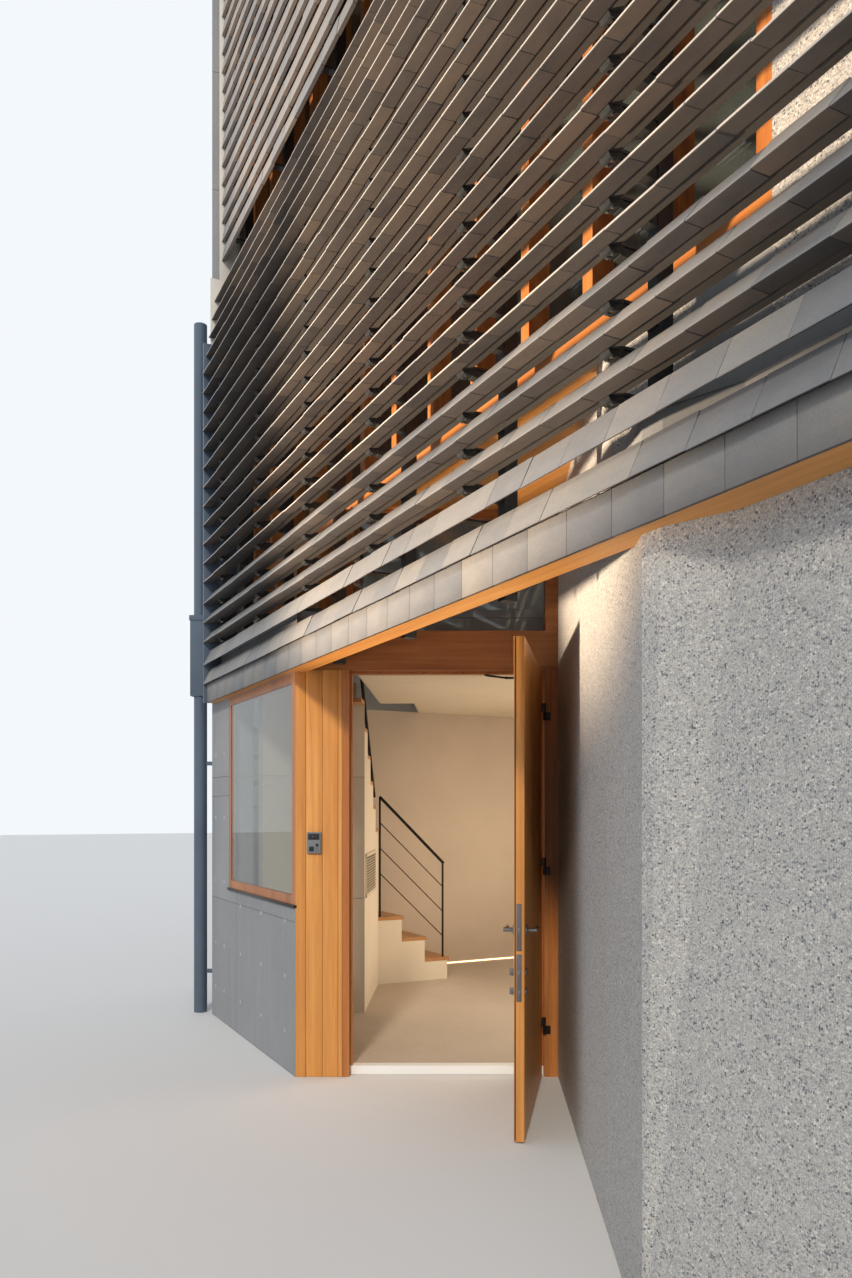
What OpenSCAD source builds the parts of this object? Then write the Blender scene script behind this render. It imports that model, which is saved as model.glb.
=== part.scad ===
// A narrow three-storey townhouse with a slanted entrance recess behind a screen of ceramic louvres.
// Plan coordinates run from the left front corner of the plot: X along the street, Y into the house.

/* [Plot] */
// Width from party wall to party wall
house_w = 8190; // [7800:10:8900]
// Depth from the street front to the back
house_d = 6370; // [5600:10:8190]
// Length of the chamfer along the street at the left corner
chamfer_w = 1200; // [1000:10:1400]
// Length of the chamfer along the left party wall
chamfer_d = 667; // [500:1:800]
// Thickness of the concrete walls
wall_t = 200; // [150:5:240]

/* [Levels] */
// Top of the ground floor slab
floor_z = 50; // [30:1:100]
// Height of the ground floor walls
ground_wall_h = 2500; // [2450:10:2700]
// Thickness of the upper floor slabs
slab_t = 250; // [200:5:300]
// Floor to floor height of the upper storeys
storey_h = 2700; // [2600:10:3000]
// Height of the parapet above the roof
parapet_h = 400; // [200:10:700]

/* [Entrance recess] */
// Distance from the left party wall to the recess
porch_x = 3130; // [3000:10:3300]
// Width of the recess along the street
porch_w = 3090; // [2900:10:3300]
// Length of the slanted door wall
door_wall_l = 1533; // [1500:1:1700]
// Angle of the door wall to the street
door_wall_angle = 63.15; // [58:0.05:66]
// Depth of the door frame
frame_d = 120; // [110:5:150]
// Height at which the recess is closed above
recess_top = 3310; // [3200:10:3500]

/* [Entrance door] */
// Width of the timber panel beside the door
panel_w = 274; // [240:1:320]
// Width of the door leaf
leaf_w = 1130; // [1000:1:1150]
// Distance from the top of the ground floor walls down to the head of the door leaf
leaf_drop = 133; // [130:1:300]
// Thickness of the door leaf
leaf_t = 50; // [44:1:55]
// Running gap round the door leaf
leaf_gap = 5; // [5:0.5:6]
// Angle at which the door stands open
door_open = 79; // [60:1:82]
// Height of the lintel beam
lintel_h = 180; // [120:5:185]
// Height of the lever handles
lever_z = 990; // [900:10:1100]

/* [Ground floor window] */
// Height of the sill of the window beside the entrance
window_sill = 1000; // [800:10:1200]
// Gap between the head of the window beside the entrance and the screen's lower edge
head_gap = 4; // [2:1:40]
// Width of the window's stile at the entrance
stile_w = 58; // [56:1:110]
// Distance from the chamfer to the window
window_pier = 484; // [300:1:600]

/* [Street wall] */
// How far the street wall leans back at its top
street_lean = 83; // [40:1:120]
// Width of the first facet at the top of its corner
facet_a = 90; // [40:5:150]
// Width of both facets at the top of its corner
facet_b = 320; // [200:5:400]

/* [Window walls] */
// Setback of the upper window walls behind the street line
setback = 300; // [280:5:400]
// Depth of the timber window frames
timber_d = 100; // [90:5:150]
// Spacing of the timber posts
timber_pitch = 425; // [380:5:500]
// Width of a timber post
timber_w = 60; // [45:1:75]
// Height of the timber sill band
band_h = 115; // [90:5:160]
// Width of the concrete pier beside the windows
pier_w = 210; // [150:5:300]
// Thickness of the glass
glass_t = 24; // [12:1:24]

/* [Louvre screen] */
// Width of a flat louvre
louvre_w = 130; // [110:1:140]
// Width of the face of a wedge louvre or an upright louvre
face_w = 110; // [90:1:120]
// Thickness of one ceramic louvre
louvre_t = 22; // [16:1:26]
// Depth of the underside of a wedge or level louvre
blade_d = 64; // [50:1:70]
// Depth of the carrier rail behind a wedge or level louvre
rail_d = 46; // [30:1:50]
// Vertical pitch of the louvres
louvre_pitch = 142; // [136:1:160]
// Tilt of the flat lower louvres
tilt_low = 65; // [55:1:75]
// Slope of the face of a wedge louvre
tilt_wedge = 51; // [45:1:60]
// Tilt of the level louvres
tilt_level = 6; // [0:1:12]
// Tilt of the upright louvres of the third floor
tilt_high = 81; // [70:1:85]
// Distance from the top of the ground floor walls down to the screen's lower edge
screen_drop = 140; // [140:5:200]
// Height of the fascia plate
fascia_h = 145; // [120:5:150]
// Thickness of the fascia plate
fascia_t = 15; // [10:1:20]
// Distance of the fascia face in front of the street line
fascia_out = 70; // [40:1:80]
// Distance of the louvre noses in front of the street line
nose_out = 100; // [95:1:120]
// Setback of the upright louvres behind the lower field
top_setback = 145; // [120:1:150]
// Setback of each of the last level louvres behind the one below it
row_setback = 22; // [0:1:28]
// Spacing of the screen posts
post_pitch = 910; // [800:10:1000]
// Width of a screen post
post_w = 50; // [40:1:60]
// Depth of a screen post
post_d = 60; // [50:1:80]
// Distance of the posts behind the street line
post_in = 160; // [150:5:200]
// Distance from the chamfer to the end of the screen
screen_over = 110; // [50:5:150]

// Radius of the rainwater pipe
pipe_r = 50; // [35:1:55]

/* [Stair] */
// Width of the lower flight along the left party wall
stair_w = 720; // [650:5:800]
// Width of the upper flight along the chamfered wall
flight_w = 984; // [900:1:1050]
// Going of a tread
going = 225; // [210:1:240]
// Thickness of a tread
tread_t = 30; // [25:1:40]
// Overhang of a tread
nosing = 20; // [10:1:30]
// Thickness of the plastered side panel
panel_t = 60; // [40:5:80]
// Thickness of the wall at the end of the stair
end_wall_t = 100; // [80:5:150]
// Height of the handrail above the nosings
rail_h = 840; // [750:10:950]

/* [Hidden] */

$fn = 48;

// Levels that follow from the storeys
second_z = ground_wall_h + slab_t;
third_z = second_z + storey_h;
roof_z = third_z + storey_h;
top_z = roof_z + parapet_h;

// Heights at the entrance that follow from the ground floor walls
screen_z = ground_wall_h - screen_drop;
window_head = screen_z - head_gap;

// Clearance where slanted faces meet
fit = 0.3;

// Colours
concrete = [0.66, 0.66, 0.64];
aggregate = [0.58, 0.58, 0.57];
timber = [0.72, 0.42, 0.18];
tile = [0.22, 0.24, 0.27];
steel = [0.15, 0.16, 0.18];
plaster = [0.78, 0.72, 0.64];
glazing = [0.6, 0.72, 0.78, 0.4];

// Points of the door wall: a runs along it from the street, b into the house
function door_pt(a, b) = [porch_x + a * cos(door_wall_angle) - b * sin(door_wall_angle),
                          a * sin(door_wall_angle) + b * cos(door_wall_angle)];
porch_corner = [porch_x + porch_w, 0];
recess_corner = door_pt(door_wall_l, 0);
recess_len = norm(porch_corner - recess_corner);
recess_dir = (porch_corner - recess_corner) / recess_len;
recess_in = [-recess_dir[1], recess_dir[0]];

// Points of the slanted recess wall: offset b into the house, at the depth y
function recess_at(b, y) = recess_corner + b * recess_in
    + recess_dir * ((y - recess_corner[1] - b * recess_in[1]) / recess_dir[1]);

// Meeting point of the inner faces of the door wall and the recess wall, or of lines at a gap from them
door_dir = [cos(door_wall_angle), sin(door_wall_angle)];
function inner_at(gap) = let (
    from = recess_corner + (wall_t + gap) * recess_in - door_pt(0, frame_d + gap),
    run = (from[0] * recess_dir[1] - from[1] * recess_dir[0])
        / (door_dir[0] * recess_dir[1] - door_dir[1] * recess_dir[0]))
    door_pt(run, frame_d + gap);
inner_corner = inner_at(0);

// Points of the chamfered corner: offset b into the house, at the depth y or the width x
chamfer_a = [chamfer_w, 0];
chamfer_len = norm([chamfer_w, chamfer_d]);
chamfer_dir = [-chamfer_w, chamfer_d] / chamfer_len;
chamfer_in = [chamfer_dir[1], -chamfer_dir[0]];
function chamfer_at_y(b, y) = chamfer_a + b * chamfer_in
    + chamfer_dir * ((y - b * chamfer_in[1]) / chamfer_dir[1]);
function chamfer_at_x(b, x) = chamfer_a + b * chamfer_in
    + chamfer_dir * ((x - chamfer_w - b * chamfer_in[0]) / chamfer_dir[0]);

// Point at the depth y of the end face of the chamfered wall
function chamfer_mitre(y) = chamfer_a + (chamfer_at_y(wall_t, wall_t) - chamfer_a) * (y / wall_t);

// Places its children in the stair's direction: X along the chamfered wall to the street, Y into the house
flight_angle = -atan2(chamfer_d, chamfer_w);
module in_stair() {
    translate([chamfer_w, 0, 0]) rotate([0, 0, flight_angle]) children();
}

// Edges shared by the front rooms
room_x0 = wall_t;
room_x1 = house_w - wall_t;
room_y1 = house_d - wall_t;
wall_y1 = setback + timber_d;
pier_x0 = porch_x + porch_w;
pier_x1 = pier_x0 + pier_w;

// Front line of the street wall at a height, set back by its lean
function street_y(z) = street_lean * z / ground_wall_h;
function facet_pt(w, y, z) = porch_corner + [w, y] * (z / ground_wall_h);
function street_front(z) = [porch_corner, facet_pt(facet_a, 0, z), facet_pt(facet_b, street_lean, z)];

module site() {
    translate([-house_w / 2, -house_d / 2, 0]) children();
}

module prism(points, z0, z1) {
    translate([0, 0, z0]) linear_extrude(height = z1 - z0) polygon(points);
}

module block(x0, x1, y0, y1, z0, z1) {
    translate([x0, y0, z0]) cube([x1 - x0, y1 - y0, z1 - z0]);
}

// Places its children in the door wall: X along it, Y into the house
module in_door_wall() {
    translate([porch_x, 0, 0]) rotate([0, 0, door_wall_angle]) children();
}

// Walls and slabs
inner_t = wall_t + fit;
inner_d = frame_d + fit;
inner_joint = inner_at(fit);

// Point on the inner face of the front wall at the distance a from the line of its end face
function door_wall_front(a) = door_pt(a, (wall_t - a * sin(door_wall_angle)) / cos(door_wall_angle));

floor_outline = [
    chamfer_at_y(inner_t, wall_t), door_wall_front(fit), door_pt(fit, inner_d), inner_joint,
    recess_at(inner_t, wall_t), [room_x1, wall_t], [room_x1, room_y1], [room_x0, room_y1],
    chamfer_at_x(inner_t, room_x0)];

module ground_slab() {
    color(concrete) site() prism(floor_outline, 0, floor_z);
}

module left_party_wall() {
    color(concrete) site()
        prism([[0, chamfer_d], chamfer_at_x(wall_t, room_x0), [room_x0, room_y1], [0, room_y1]], 0, top_z);
}

module chamfer_wall() {
    color(concrete) site()
        prism([chamfer_a, chamfer_at_y(wall_t, wall_t), chamfer_at_x(wall_t, room_x0), [0, chamfer_d]],
              0, top_z);
}

module right_party_wall() {
    color(concrete) site() {
        block(room_x1, house_w, wall_t, room_y1, 0, ground_wall_h);
        block(room_x1, house_w, setback + wall_t, room_y1, ground_wall_h, top_z);
    }
}

// Windows of the back wall, one pair a storey
back_window_w = 1365;
back_window_h = 1300;
back_sill = 900;
back_window_x = [1200, house_w - 1200 - back_window_w];
back_levels = [floor_z, second_z, third_z];

module back_wall() {
    color(concrete) site() difference() {
        block(0, house_w, room_y1, house_d, 0, top_z);
        for (x = back_window_x, z = back_levels)
            translate([x, room_y1 - 1, z + back_sill]) cube([back_window_w, wall_t + 2, back_window_h]);
    }
}

module front_wall() {
    color(concrete) site() difference() {
        prism([chamfer_a, [porch_x, 0], door_wall_front(0), chamfer_at_y(wall_t, wall_t)], 0, ground_wall_h);
        block(window_x0, porch_x + 1, -1, wall_t + 1, window_sill, window_head);
    }
}

module recess_wall() {
    color(aggregate) site() {
        prism([recess_corner, porch_corner, recess_at(wall_t, wall_t), inner_corner,
               door_pt(door_wall_l, frame_d)], 0, ground_wall_h);
        prism([recess_corner, recess_at(0, setback), recess_at(wall_t, setback), inner_corner,
               door_pt(door_wall_l, frame_d)], ground_wall_h, recess_top);
    }
}

// Cut that leaves the leaning front of the street wall: a wedge that opens upwards from the ground
module leaning_cut() {
    rise = 2 * ground_wall_h;
    translate([porch_x, 0, 0]) rotate([90, 0, 90]) linear_extrude(height = house_w)
        polygon([[0, 0], [2 * street_lean, rise], [-street_lean, rise], [-street_lean, 0]]);
}

// Cut that leaves the three-cornered facet beside the recess
module facet_cut() {
    rise = 2 * ground_wall_h;
    turn = atan2(street_lean, facet_b - facet_a);
    shift = 2 * facet_a * sin(turn);
    translate([porch_corner[0], 0, 0]) rotate([0, 0, turn]) rotate([90, 0, 90])
        linear_extrude(height = 2 * porch_w, center = true)
            polygon([[0, 0], [-shift, rise], [-porch_w, rise], [-porch_w, 0]]);
}

module street_wall() {
    color(aggregate) site() difference() {
        prism([porch_corner, [house_w, 0], [house_w, wall_t], recess_at(wall_t, wall_t)], 0, ground_wall_h);
        intersection() {
            leaning_cut();
            facet_cut();
        }
    }
}

// Front edge of the second floor slab behind the low louvres
ledge_y = 40;
module second_floor_slab() {
    outline = concat(
        [chamfer_at_y(inner_t, wall_t), chamfer_mitre(ledge_y) + [fit, 0],
         door_pt(-fit, ledge_y / cos(door_wall_angle)), door_pt(-fit, inner_d), inner_joint,
         recess_at(inner_t, setback), recess_at(0, setback)],
        street_front(ground_wall_h),
        [[house_w, street_lean], [house_w, setback + wall_t], [room_x1, setback + wall_t],
         [room_x1, room_y1], [room_x0, room_y1], chamfer_at_x(inner_t, room_x0)]);
    color(concrete) site() difference() {
        prism(outline, ground_wall_h, second_z);
        stair_well(ground_wall_h - 1, second_z + 1);
    }
}

// Opening for the stair in the floor above it: over the upper flight, and wider over the lower one
well_turn = 190;
well_extra = 300;
module stair_well(z0, z1) {
    side = inner_t + flight_w + fit;
    intersection() {
        block(room_x0, house_w, wall_y1 + 5, house_d, z0, z1);
        in_stair() union() {
            block(newel_s - 2000, newel_s + 7 * going, wall_t, side, z0, z1);
            block(newel_s - 2000, newel_s - well_turn, wall_t, side + well_extra, z0, z1);
        }
    }
}

module bay_floor() {
    color(concrete) site()
        prism([door_pt((wall_y1 - inner_d * cos(door_wall_angle)) / sin(door_wall_angle), inner_d),
               recess_at(inner_t, wall_y1), inner_joint],
              recess_top, recess_top + band_h);
}

module window_pier_wall() {
    color(concrete) site()
        prism([recess_at(inner_t, setback), [pier_x1, setback], [pier_x1, setback + wall_t],
               recess_at(inner_t, setback + wall_t)], second_z, recess_top);
}

module upper_street_wall() {
    color(aggregate) site() block(pier_x1, house_w, setback, setback + wall_t, second_z, top_z);
}

upper_outline = [
    chamfer_at_y(inner_t, setback), [pier_x1, setback], [pier_x1, setback + wall_t],
    [room_x1, setback + wall_t], [room_x1, room_y1], [room_x0, room_y1], chamfer_at_x(inner_t, room_x0)];

module third_floor_slab() {
    color(concrete) site() prism(upper_outline, third_z - slab_t, third_z);
}

// The roof slab and the parapet above the windows
module roof_slab() {
    color(concrete) site() {
        prism(upper_outline, roof_z - slab_t, roof_z);
        prism([chamfer_at_y(inner_t, setback), [pier_x1, setback], [pier_x1, setback + wall_t],
               chamfer_at_y(inner_t, setback + wall_t)], roof_z, top_z);
    }
}

// Ground floor window
window_x0 = chamfer_w + window_pier;
frame_w = 55;
window_d = 50;
window_y = 4;

module front_window_frame() {
    color(timber) site() difference() {
        prism([[window_x0, 0], [porch_x, 0], door_pt(0, window_d / cos(door_wall_angle)),
               [window_x0, window_d]], window_sill, window_head);
        block(window_x0 + frame_w, porch_x - stile_w, -1, window_d + 1,
              window_sill + frame_w, window_head - frame_w);
    }
}

module front_window_glass() {
    color(glazing) site() block(window_x0 + frame_w, porch_x - stile_w, window_y, window_y + glass_t,
                                window_sill + frame_w, window_head - frame_w);
}

// Entrance
jamb_w = 40;
leaf_x0 = panel_w + jamb_w + leaf_gap;
leaf_x1 = leaf_x0 + leaf_w;
leaf_z0 = 10;
leaf_h = ground_wall_h - leaf_drop - leaf_z0;
head_z = leaf_z0 + leaf_h + leaf_gap;
leaf_y = 3;
stop_y = leaf_y + leaf_t + leaf_gap;
stop_w = 14;
pin_x = leaf_x1 + leaf_gap / 2;
pin_y = -12;
pin_r = 4;
knuckle_r = 9;
knuckle_h = 50;
hinge_plate = 3;
hinge_w = 35;
hinge_z = [250, leaf_h / 2, leaf_h - 280];

module entry_panel() {
    color(timber) site() in_door_wall() block(0, panel_w, 0, frame_d, 0, head_z);
}

module intercom() {
    color([0.45, 0.47, 0.5]) site() in_door_wall() translate([70, -24, 1305]) cube([82, 24, 122]);
}

module door_frame() {
    color(timber) site() in_door_wall() {
        block(panel_w, panel_w + jamb_w, 0, frame_d, 0, head_z);
        block(panel_w + jamb_w, panel_w + jamb_w + stop_w, stop_y, frame_d, floor_z, head_z);
        block(leaf_x1 + leaf_gap, door_wall_l, 0, frame_d, 0, head_z);
        block(leaf_x1 + leaf_gap - stop_w, leaf_x1 + leaf_gap, stop_y, frame_d, floor_z, head_z);
        block(panel_w + jamb_w + stop_w + fit, leaf_x1 + leaf_gap - stop_w - fit, stop_y, frame_d,
              head_z - stop_w, head_z);
    }
}

module lintel_beam() {
    color(timber) site() in_door_wall() block(0, door_wall_l, 0, frame_d, head_z, head_z + lintel_h);
}

transom_z0 = head_z + lintel_h;
module transom_frame() {
    post_x = setback / sin(door_wall_angle);
    color(timber) site() in_door_wall() difference() {
        block(post_x - 60, door_wall_l, 0, frame_d, transom_z0, recess_top);
        block(post_x, door_wall_l - 70, -1, frame_d + 1, transom_z0 + 50, recess_top - 50);
    }
}

module transom_glass() {
    post_x = setback / sin(door_wall_angle);
    color(glazing) site() in_door_wall() block(post_x, door_wall_l - 70, 50, 50 + glass_t,
                                               transom_z0 + 50, recess_top - 50);
}

module door_sill() {
    color([0.92, 0.92, 0.9]) site() in_door_wall()
        block(panel_w + jamb_w, leaf_x1 + leaf_gap, stop_y, frame_d, 0, floor_z);
}

// Places its children on the leaf: closed, X along the door wall and Y into the house
module on_leaf() {
    site() in_door_wall() translate([pin_x, pin_y, 0]) rotate([0, 0, door_open])
        translate([-pin_x, -pin_y, 0]) children();
}

module door_leaf() {
    color(timber) on_leaf() block(leaf_x0, leaf_x1, leaf_y, leaf_y + leaf_t, leaf_z0, leaf_z0 + leaf_h);
}

// One lever handle with its rose: side -1 is the street side, side 1 the room side
module lever(side) {
    face = side < 0 ? leaf_y : leaf_y + leaf_t;
    lever_x = leaf_x0 + 65;
    translate([lever_x, face, lever_z]) rotate([-90 * side, 0, 0]) {
        cylinder(r = 26, h = 8);
        cylinder(r = 9, h = 52);
    }
    translate([lever_x - 9, face + side * 52 - 9, lever_z - 9]) cube([125, 18, 18]);
}

// Levers, lock plates on the leaf's edge, and the leaf's half of each hinge
module door_hardware() {
    color(steel) on_leaf() {
        lever(-1);
        lever(1);
        for (drop = [-327, -91]) translate([leaf_x0 - 2, leaf_y + 13, lever_z + drop]) cube([2, 24, 220]);
        for (z = hinge_z) translate([pin_x, pin_y, z + knuckle_h]) difference() {
            union() {
                cylinder(r = knuckle_r, h = knuckle_h);
                translate([-knuckle_r, 0, 0]) cube([knuckle_r, leaf_y - pin_y, knuckle_h]);
                translate([-hinge_w, leaf_y - pin_y - hinge_plate, 0])
                    cube([hinge_w - leaf_gap / 2, hinge_plate, knuckle_h]);
            }
            translate([0, 0, -1]) cylinder(r = pin_r + 0.1, h = knuckle_h + 2);
        }
    }
}

// The frame's half of each hinge with its pin
module door_hinges() {
    color(steel) site() in_door_wall() for (z = hinge_z) translate([pin_x, pin_y, z]) {
        cylinder(r = knuckle_r, h = knuckle_h - 1);
        cylinder(r = pin_r, h = 2 * knuckle_h);
        translate([leaf_gap / 2, 0, 0]) cube([knuckle_r - leaf_gap / 2, -pin_y, knuckle_h - 1]);
        translate([leaf_gap / 2, -pin_y - hinge_plate, 0]) cube([hinge_w, hinge_plate, knuckle_h - 1]);
    }
}

// Upper window walls
module sill_band() {
    color(timber) site()
        prism([chamfer_at_y(inner_t, setback), [pier_x1, setback], [pier_x1, wall_y1],
               chamfer_at_y(inner_t, wall_y1)], recess_top, recess_top + band_h);
}

// A timber window wall from x0 to x1: posts at the pitch, a sill rail and a head rail
module window_wall(x0, x1, z0, z1) {
    bays = floor((x1 - x0) / timber_pitch);
    for (i = [0:bays])
        block(x1 - timber_w - i * timber_pitch, x1 - i * timber_pitch, setback, wall_y1, z0, z1);
    block(x0, x1, setback + 20, wall_y1, z0, z0 + timber_w);
    block(x0, x1, setback + 20, wall_y1, z1 - timber_w, z1);
}

window_left = chamfer_at_y(wall_t, setback)[0] + fit;
low_window_x1 = door_pt((setback - frame_d * cos(door_wall_angle)) / sin(door_wall_angle), frame_d)[0];

module second_floor_windows() {
    color(timber) site() {
        window_wall(window_left, low_window_x1, second_z, recess_top);
        window_wall(window_left, pier_x1, recess_top + band_h, third_z - slab_t);
    }
}

module second_floor_glass() {
    color(glazing) site() {
        block(window_left, low_window_x1, wall_y1, wall_y1 + glass_t, second_z, recess_top);
        block(window_left, pier_x1, wall_y1, wall_y1 + glass_t, recess_top + band_h, third_z - slab_t);
    }
}

module third_floor_windows() {
    color(timber) site() window_wall(window_left, pier_x1, third_z, roof_z - slab_t);
}

module third_floor_glass() {
    color(glazing) site()
        block(window_left, pier_x1, wall_y1, wall_y1 + glass_t, third_z, roof_z - slab_t);
}

// Places its children at the lower left corner of each back window, at a depth in front of the outer face
module at_back_windows(depth) {
    for (x = back_window_x, z = back_levels) translate([x, house_d - depth, z + back_sill]) children();
}

back_pane_w = back_window_w / 2 - frame_w * 1.5;
back_frame_d = 80;
module back_windows() {
    color(timber) site() at_back_windows(130) difference() {
        cube([back_window_w, back_frame_d, back_window_h]);
        for (i = [0, 1]) translate([frame_w + i * (back_pane_w + frame_w), -1, frame_w])
            cube([back_pane_w, back_frame_d + 2, back_window_h - 2 * frame_w]);
    }
}

module back_glass() {
    color(glazing) site() at_back_windows(102)
        for (i = [0, 1]) translate([frame_w + i * (back_pane_w + frame_w), 0, frame_w])
            cube([back_pane_w, glass_t, back_window_h - 2 * frame_w]);
}

// Louvre screen
screen_x0 = chamfer_w + screen_over;

// Rows of the screen as [nose y, nose z, tilt]
low_rows = [for (i = [0:1]) [-nose_out, screen_z + 134 + i * louvre_pitch, tilt_low]];
wedge_rows = [for (i = [0:2]) [-nose_out, screen_z + 452 + i * louvre_pitch, 0]];
level_z = screen_z + 897;
level_count = floor((third_z - level_z) / louvre_pitch) + 1;
function set_back(i) = row_setback * max(0, i - level_count + 5);
level_rows = [for (i = [0:level_count - 1])
    [set_back(i) - nose_out, level_z + i * louvre_pitch, tilt_level]];
top_z0 = level_z + level_count * louvre_pitch + 179;
top_count = floor((top_z + 250 - top_z0) / louvre_pitch);
top_rows = [for (i = [0:top_count - 1]) [top_setback - nose_out, top_z0 + i * louvre_pitch, tilt_high]];

// Outlines of the louvres in section, each with its nose at the origin
edge_t = 4;
step_h = 6;
rear = blade_d + rail_d;
plate_section = [[0, 0], [0, -edge_t], [louvre_w / 4, -louvre_t], [louvre_w, -louvre_t], [louvre_w, 0]];
wedge_top = face_w * [cos(tilt_wedge), sin(tilt_wedge)];
wedge_section = [[0, 0], [0, -edge_t], [blade_d, -edge_t], [blade_d, step_h - edge_t],
                 [rear, step_h - edge_t], [rear, louvre_t], [wedge_top[0] + louvre_t, louvre_t],
                 wedge_top + [louvre_t / 2, 0], wedge_top];
level_section = [[0, 0], [0, -2], [blade_d, -2], [blade_d, step_h - 2], [rear, step_h - 2], [rear, louvre_t],
                 [step_h, 9]];
upright_section = [[0, 0], [0, -louvre_t], [face_w, -louvre_t], [face_w, 0]];

// Where a bracket arm meets a louvre: the middle of the seat and its direction, in the louvre's section
plate_seat = [[louvre_w / 2, -louvre_t - fit], [1, 0]];
rail_seat = [[rear + fit, louvre_t / 2 + 2], [0, 1]];
upright_seat = [[face_w / 2, -louvre_t - fit], [1, 0]];

module louvre_rows(section, rows) {
    for (row = rows) translate([screen_x0, row[0], row[1]]) rotate([90, 0, 90])
        linear_extrude(height = house_w - screen_x0) rotate([0, 0, row[2]]) polygon(section);
}

module fascia() {
    color(tile) site()
        block(screen_x0, house_w, -fascia_out, fascia_t - fascia_out, screen_z, screen_z + fascia_h);
}

soffit_t = 18;
soffit_back = 60;
module screen_soffit() {
    z0 = screen_z + 2;
    soffit_z1 = z0 + soffit_t;
    step = street_front(soffit_z1);
    inside = street_y(z0) - 1.5;
    color(timber) site()
        prism([[screen_x0, fascia_t - fascia_out], [house_w, fascia_t - fascia_out], [house_w, inside],
               [step[2][0], inside], [step[1][0] + 6, -0.5], porch_corner - [0, 0.5],
               recess_at(0, soffit_back),
               door_pt(soffit_back / sin(door_wall_angle), 0), [porch_x, 0], [screen_x0, 0]], z0, soffit_z1);
}

module low_louvres() {
    color(tile) site() {
        louvre_rows(plate_section, low_rows);
        louvre_rows(wedge_section, wedge_rows);
    }
}

module second_floor_louvres() {
    color(tile) site() louvre_rows(level_section, level_rows);
}

module third_floor_louvres() {
    color(tile) site() louvre_rows(upright_section, top_rows);
}

// Outline of a post with one bracket arm to each louvre, in the plane across the screen
arm_t = 5;
fascia_arm = [[post_in, screen_z + 80 - arm_t], [fascia_t - fascia_out, screen_z + 80 - arm_t],
              [fascia_t - fascia_out, screen_z + 80 + arm_t], [post_in, screen_z + 80 + arm_t]];
function turned(p, a) = [p[0] * cos(a) - p[1] * sin(a), p[0] * sin(a) + p[1] * cos(a)];
function arm(row, seat) = let (end = [row[0], row[1]] + turned(seat[0], row[2]),
                               along = arm_t * turned(seat[1], row[2]))
    [[post_in, end[1] - arm_t], end - along, end + along, [post_in, end[1] + arm_t]];
function arms(rows, seat) = [for (row = rows, p = arm(row, seat)) p];
low_arms = concat(fascia_arm, arms(low_rows, plate_seat));
upper_arms = concat(arms(wedge_rows, rail_seat), arms(level_rows, rail_seat), arms(top_rows, upright_seat));
post_top = top_z + 200;

post_x0 = porch_x + 220 - 2 * post_pitch;
post_count = floor((house_w - 60 - post_x0) / post_pitch) + 1;

// Posts with the arms that hold them to the floor edges: those over the open recess hang down to the fascia
module screen_posts() {
    color(steel) site() for (i = [0:post_count - 1]) {
        x = post_x0 + i * post_pitch;
        hangs = x > porch_x && x < porch_x + porch_w - 300;
        z0 = hangs ? screen_z + 30 : second_z;
        outline = concat([[post_in, z0]], hangs ? low_arms : [], upper_arms,
                         [[post_in, post_top], [post_in + post_d, post_top], [post_in + post_d, z0]]);
        translate([x - post_w / 2, 0, 0]) rotate([90, 0, 90]) linear_extrude(height = post_w)
            polygon(outline);
        for (z = [third_z - 150, roof_z - 150])
            block(x - 20, x + 20, post_in + post_d - 1, setback, z, z + 80);
    }
}

// Rainwater pipe at the left end of the screen, with its clips on the chamfered wall
pipe_s = -76;
pipe_off = 111;
pipe_h = 5300;
module downpipe() {
    color([0.3, 0.36, 0.42]) site() in_stair() {
        translate([pipe_s, -pipe_off, 0]) cylinder(r = pipe_r, h = pipe_h);
        for (i = [0:3]) translate([pipe_s - 12, -pipe_off, 300 + i * (pipe_h - 500) / 3])
            cube([24, pipe_off, 30]);
    }
}

// Stair
riser = (second_z - floor_z) / 14;
newel = chamfer_at_x(inner_t + flight_w, room_x0 + stair_w);
newel_s = (newel - chamfer_a) * -chamfer_dir;
function step_z(n) = floor_z + n * riser;

// Point of the upper flight: s along the chamfered wall to the street, b into the house
function flight_pt(s, b) = chamfer_a + b * chamfer_in - s * chamfer_dir;

// The straight steps 1 to 3 of the lower flight
module low_step(n, z0, z1, over) {
    y1 = newel[1] + (4 - n) * going;
    block(room_x0, newel[0], y1 - going, y1 + over, z0, z1);
}

// The winders 4 to 6 turn about the newel from the party wall to the chamfered wall
winder_turn = (90 + flight_angle) / 3;
module winder(n, z0, z1) {
    start = 180 + (n - 4) * winder_turn;
    reach = 2 * flight_w;
    intersection() {
        prism([newel, [room_x0, newel[1]], chamfer_at_x(inner_t, room_x0),
               flight_pt(newel_s, inner_t)], z0, z1);
        prism([newel, newel + reach * [cos(start), sin(start)],
               newel + reach * [cos(start + winder_turn), sin(start + winder_turn)]], z0, z1);
    }
}

// The steps 7 to 13 of the upper flight, cut off at the inner face of the street front
module high_step(n, z0, z1) {
    s0 = newel_s + (n - 7) * going;
    front = n < 12 ? wall_t : wall_y1 + 5;
    intersection() {
        in_stair() block(s0 + fit, s0 + going, inner_t, inner_t + flight_w, z0, z1);
        block(room_x0, house_w, front, house_d, z0, z1);
    }
}

module stair_base() {
    color(plaster) site() {
        for (n = [1:3]) low_step(n, floor_z, step_z(n) - tread_t, 0);
        for (n = [4:6]) winder(n, floor_z, step_z(n) - tread_t);
    }
}

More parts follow.
